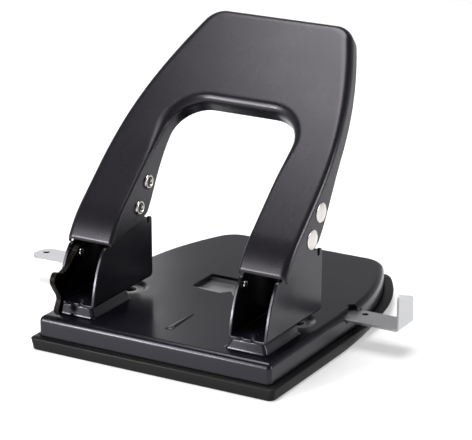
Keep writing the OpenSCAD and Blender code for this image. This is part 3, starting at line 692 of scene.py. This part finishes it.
def build_bracket(name, cx):
    """Folded channel: a floor bent up into two walls that carry the pivot."""
    b = Builder()
    columns, front_steps = 16, 14
    front_top = BR_EDGE[-1][0]

    def row(x, z):
        y0, y1 = between(z, BR_EDGE), rear_edge(z)
        return b.row([(x, y0 + (y1 - y0) * i / columns, z) for i in range(columns + 1)])

    bend = []
    steps = 6
    for k in range(steps + 1):
        phi = math.pi / 2 * k / steps
        bend.append((BR_HALF - BR_BEND * (1 - math.cos(phi)), BR_LOW + BR_BEND * (1 - math.sin(phi))))
    left = [row(cx - dx, z) for dx, z in bend]
    right = [row(cx + dx, z) for dx, z in reversed(bend)]
    b.rows(left + right, closed=False)
    # wall outline above the bend: front edge, ear round the pivot, hooked rear edge
    curve = []
    for i in range(1, front_steps + 1):
        z = BR_LOW + BR_BEND + (front_top - BR_LOW - BR_BEND) * i / front_steps
        curve.append((between(z, BR_EDGE), z))
    curve += [(16.2, 41.75), (18.6, 41.9), (19.4, 42.5), (20.6, 44.4)]
    curve += arc(PIVOT_Y, PIVOT_Z, EAR_R, 130.7, 0, 14)
    curve += [(44.4, 46.9), (44.9, 46.4), (47.3, 46.4), (47.8, 45.9), (47.8, 43.6), (48.2, 43.2), (49.0, 43.2),
              (49.4, 43.6), (49.4, 45.3), (49.6, 45.6), (50.8, 45.6), (51.4, 45.3), (BR_REAR, 44.7),
              (BR_REAR, 30.0)]
    for x, base_row in ((cx - BR_HALF, left[0]), (cx + BR_HALF, right[-1])):
        b.cap(base_row[::-1] + b.row([(x, y, z) for y, z in curve]))
    obj = b.make(name, PAINT, outside=((cx + BR_HALF, 30, 30), (1, 0, 0)))
    thicken(obj, 1.5)
    bake(obj, 50)
    # two small nicks in the floor's front edge
    for dx in (-2.6, 2.6):
        cut_away(obj, block(cx + dx - 0.7, cx + dx + 0.7, 4.5, 7.2, 17, 21.0))
    edge_bevel(obj, 0.5, 4, 50)
    return obj


for side, word in SIDES:
    done(build_bracket(f"{word}_bracket_channel", side * PUNCH_X), "base", "black_paint", f"{word}_bracket")

# ------------------------------------------------------------------ wall studs
STUD_Y, STUD_Z = 17.0, 38.2
PLATE_X = -46.35


def build_stud(name, wall_x, neck):
    """Riveted end outside the wall, shank, and a domed head inside; wall_x is the wall's inner face."""
    b = Builder()
    head = 0.9
    profile = [(-1.8, 0.0), (-1.77, 0.5), (-1.65, 0.9), (-1.5, 1.0), (neck, 1.0), (neck, 1.42), (neck + 0.12, 1.5),
               (neck + 0.45, 1.42), (neck + 0.7, 1.1), (neck + head - 0.04, 0.6), (neck + head, 0.0)]
    lathe_x(b, wall_x, STUD_Y, STUD_Z, 1, profile, 36)
    return b.make(name, NICKEL)


done(build_stud("left_stud_turned", -47.3, 3.42), "base", "nickel", "left_wall_stud")
done(build_stud("right_stud_turned", 32.7, 0.3), "base", "nickel", "right_wall_stud")


# ------------------------------------------------------------------ lock lever
# side view of the lever: top edge, thumb piece, tail, and back up round the stud
LEVER = [(17.0, 40.8), (14.9, 39.3), (11.8, 37.4), (9.4, 35.4), (8.4, 34.4), (7.3, 33.7), (5.9, 33.2), (4.6, 32.9),
         (3.6, 33.0), (2.5, 33.6), (1.3, 34.1), (0.2, 34.2), (-0.8, 33.8), (-1.5, 33.0), (-2.1, 31.8), (-2.2, 30.8),
         (-1.9, 29.6), (-1.2, 28.3), (-0.2, 26.8), (1.0, 25.0), (1.9, 23.7), (2.1, 22.7), (1.8, 21.6), (1.2, 20.3),
         (0.5, 19.2), (0.1, 18.3), (0.2, 17.2), (0.7, 16.3), (1.4, 15.6), (2.1, 15.4), (2.6, 15.8), (2.8, 16.6),
         (3.4, 18.5), (4.1, 20.3), (5.0, 22.4), (6.1, 24.1), (7.8, 25.9), (10.6, 28.6), (14.2, 31.1), (16.0, 32.1),
         (17.6, 33.6), (18.6, 35.4), (19.3, 37.4), (19.1, 39.3), (18.2, 40.5)]


def lever_loop(d):
    """The lever's outline, moved inwards by d."""
    n = len(LEVER)
    area = sum(a[0] * c[1] - c[0] * a[1] for a, c in zip(LEVER, LEVER[1:] + LEVER[:1]))
    inwards = d if area > 0 else -d
    points = []
    for i in range(n):
        (ya, za), (yb, zb), (yc, zc) = LEVER[i - 1], LEVER[i], LEVER[(i + 1) % n]
        ty, tz = yc - ya, zc - za
        length = math.hypot(ty, tz)
        points.append((yb + tz / length * -inwards, zb + ty / length * inwards))
    return points


def build_lever():
    """Thumb lever: a thick plate whose edges are well rounded."""
    b = Builder()
    x0, x1, r = PLATE_X, PLATE_X + 2.32, 0.5
    section = ((x0, r), (x0 + 0.15 * r, 0.45 * r), (x0 + 0.5 * r, 0.12 * r), (x0 + r, 0.0), (x1 - r, 0.0),
               (x1 - 0.5 * r, 0.12 * r), (x1 - 0.15 * r, 0.45 * r), (x1, r))
    rows = [b.row([(x, y, z) for y, z in lever_loop(d)]) for x, d in section]
    b.rows(rows)
    b.cap(rows[0], True)
    b.cap(rows[-1])
    return b.make("lever_thumb", LEVER_BLACK)


lever_thumb = build_lever()
lever_thumb.data.set_sharp_from_angle(angle=math.radians(60))
done(lever_thumb, "lever", "lever_plastic")
for p in nodes["lock_lever"].data.polygons:
    p.use_smooth = False
edge_bevel(nodes["lock_lever"], 0.15, 2, 30)


# ------------------------------------------------------------------ paper guide
def build_guide():
    """Flat bar with a round end, two small holes, and an upright tab at its right end."""
    y_mid, half, z_low, t = GUIDE_Y, 6.65, 10.5, 1.0
    left, right, bend = -103.4, 77.6, 1.6
    hole_r, holes = 1.35, ((left + 4.7, y_mid + 1.2), (right - 20.0, y_mid + 2.8))
    x_bend, x_in, inner_r = right - bend, right - t, bend - t
    across = [y_mid + half - 2 * half * i / 8 for i in range(9)]
    b = Builder()
    loop = arc(left + half, y_mid, half, 270, 90, 22) + [(x_bend, y) for y in across]
    flat = b.row([(x, y, z_low + t) for x, y in loop])
    b.fill([flat] + [b.row([(x, y, z_low + t) for x, y in circle(hx, hy, hole_r, 24)]) for hx, hy in holes])
    rows = [flat[-len(across):]]
    for k in range(1, 7):
        phi = math.pi / 2 * k / 6
        rows.append(b.row([(x_bend + inner_r * math.sin(phi), y, z_low + t + inner_r * (1 - math.cos(phi)))
                           for y in across]))
    b.rows(rows, closed=False)
    # the tab's top slopes down to the rear; its corners are rounded
    fall, top_z = 4.0, z_low + 15.8
    lean = math.degrees(math.atan2(fall, 2 * half))
    tab = (arc(y_mid - half + 1.0, top_z - 1.2, 1.0, 180, 90 - lean, 6)
           + arc(y_mid + half - 2.0, top_z - fall - 1.8, 2.0, 90 - lean, 0, 8))
    b.cap(rows[-1] + b.row([(x_in, y, z) for y, z in tab]))
    obj = b.make("guide_bar", ZINC, outside=((0, y_mid, z_low + t), (0, 0, 1)))
    thicken(obj, t)
    bake(obj, 45)
    edge_bevel(obj, 0.12, 2, 45)
    # the punched holes' walls get a near-black brown: painted shade, standing in for the shadow inside the holes
    obj.data.materials.append(plastic("hole_wall_painted_shade", (0.02, 0.012, 0.009), (0.05, 0.032, 0.022), 0.5, 0.2))
    for p in obj.data.polygons:
        for hx, hy in holes:
            if abs(p.normal.z) < 0.6 and (p.center - at(hx, hy, z_low)).to_2d().length < (hole_r + 0.1) * MM:
                p.material_index = 1
    return obj


done(build_guide(), "guide", "zinc", "paper_guide")


# ------------------------------------------------------------------ springs
SPRING_LOW, SPRING_LENGTH, SPRING_TRAVEL = 33.0, 23.95, 8.0


def build_spring(name, cx):
    """Coil with closed ends: its first and last turns lie flat."""
    r, wire, turns = 4.0, 0.55, 8
    b = Builder()
    rings = []
    steps = turns * 28
    for i in range(steps + 1):
        t = i / steps
        eased = smooth((t - 0.5 / turns) / (1 - 1 / turns))
        steady = min(max((t - 0.6 / turns) / (1 - 1.2 / turns), 0), 1)
        z = SPRING_LOW + wire + (SPRING_LENGTH - 2 * wire) * (eased * 0.12 + 0.88 * steady)
        a = 2 * math.pi * turns * t
        ring = []
        for j in range(8):
            q = 2 * math.pi * j / 8
            rr = r + wire * math.cos(q)
            ring.append((cx + rr * math.cos(a), PUNCH_Y + rr * math.sin(a), z + wire * math.sin(q)))
        rings.append(b.row(ring))
    b.rows(rings)
    b.cap(rings[0], True)
    b.cap(rings[-1])
    return b.make(name, SPRING_STEEL)


for side, word in SIDES:
    spring = done(build_spring(f"{word}_coil", PUNCH_X * side), "base", "spring_steel", f"{word}_return_spring")
    tuple(at(PUNCH_X * side, PUNCH_Y, SPRING_LOW))
    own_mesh(spring)

# ------------------------------------------------------------------ CAD nodes that keep their own mesh
for name in ("lock_plate", "guide_channel", "left_die", "right_die", "left_punch_guide", "right_punch_guide",
             "left_drive_roller", "right_drive_roller", "pivot_washers", "bracket_rivets", "guide_rivets",
             "left_punch", "right_punch", "guide_spring"):
    for p in nodes[name].data.polygons:
        p.use_smooth = True
    nodes[name].data.set_sharp_from_angle(angle=math.radians(35))
    edge_bevel(nodes[name], 0.12, 2, 35)

# ------------------------------------------------------------------ stage
def stage():
    """White floor, and a studio that is brightest low down round the table."""
    mesh = bpy.data.meshes.new("floor")
    r = 3.0
    mesh.from_pydata([(-r, -r, 0), (r, -r, 0), (r, r, 0), (-r, r, 0)], [], [(0, 1, 2, 3)])
    floor = bpy.data.objects.new("floor", mesh)
    bpy.context.scene.collection.objects.link(floor)
    m, _, shader = new_material("floor_white", (0.72, 0.72, 0.725), 0.6, specular=0.2)
    shader.inputs["Emission Color"].default_value = (1, 1, 1, 1)
    shader.inputs["Emission Strength"].default_value = 0.34
    mesh.materials.append(m)

    world = bpy.data.worlds.new("studio")
    bpy.context.scene.world = world
    world.use_nodes = True
    tree = world.node_tree
    back = tree.nodes["Background"]
    back.inputs["Color"].default_value = (0.98, 0.97, 1.0, 1)
    split = tree.nodes.new("ShaderNodeSeparateXYZ")
    tree.links.new(tree.nodes.new("ShaderNodeTexCoord").outputs["Generated"], split.inputs[0])
    fade = tree.nodes.new("ShaderNodeMapRange")
    fade.interpolation_type = "SMOOTHSTEP"
    for socket, value in zip(("From Min", "From Max", "To Min", "To Max"), (0.05, 0.75, 0.6, 0.08)):
        fade.inputs[socket].default_value = value
    tree.links.new(split.outputs["Z"], fade.inputs["Value"])
    tree.links.new(fade.outputs["Result"], back.inputs["Strength"])


def softbox(name, location, aim, size, size_y, radiance):
    """A rectangular softbox of a given brightness."""
    light = bpy.data.lights.new(name, "AREA")
    light.shape = "RECTANGLE"
    light.size = size
    light.size_y = size_y
    light.energy = radiance * math.pi * size * size_y
    obj = bpy.data.objects.new(name, light)
    bpy.context.scene.collection.objects.link(obj)
    obj.location = location
    obj.rotation_euler = (Vector(aim) - Vector(location)).to_track_quat("-Z", "Y").to_euler()


stage()
softbox("top_box", (-0.095, 0.09, 0.62), (-0.095, 0.091, 0.0), 0.39, 0.42, 9.4)
softbox("front_box", (-0.56, -0.9, 0.42), (0, 0, 0.05), 0.3, 0.58, 14.0)
softbox("side_box", (0.93, 0.36, 0.27), (0, 0, 0.05), 0.16, 0.4, 22.0)
softbox("edge_strip", (-0.53, -0.92, 0.22), (0, 0, 0.05), 0.34, 0.09, 65.0)
softbox("left_card", (-0.41, 0.43, 0.19), (-0.1, 0, 0.0), 0.18, 0.22, 1.1)
softbox("high_box", (0.5, -0.2, 1.9), (0, 0.2, 0), 1.6, 1.6, 0.4)
bpy.context.scene.view_settings.view_transform = "Standard"

AZ, EL = math.radians(29.55), math.radians(18.9)
target = at(8.58, 70.35, 43.97)
direction = Vector((math.sin(AZ) * math.cos(EL), -math.cos(AZ) * math.cos(EL), math.sin(EL)))
camera = bpy.data.objects.new("camera", bpy.data.cameras.new("camera"))
bpy.context.scene.collection.objects.link(camera)
camera.location = target + direction * 0.993
camera.rotation_euler = (-direction).to_track_quat("-Z", "Y").to_euler()
camera.data.sensor_width = 36.0
camera.data.lens = 183.05
camera.data.shift_x = -0.0461
camera.data.shift_y = 0.004
camera.data.clip_start = 0.01
bpy.context.scene.camera = camera
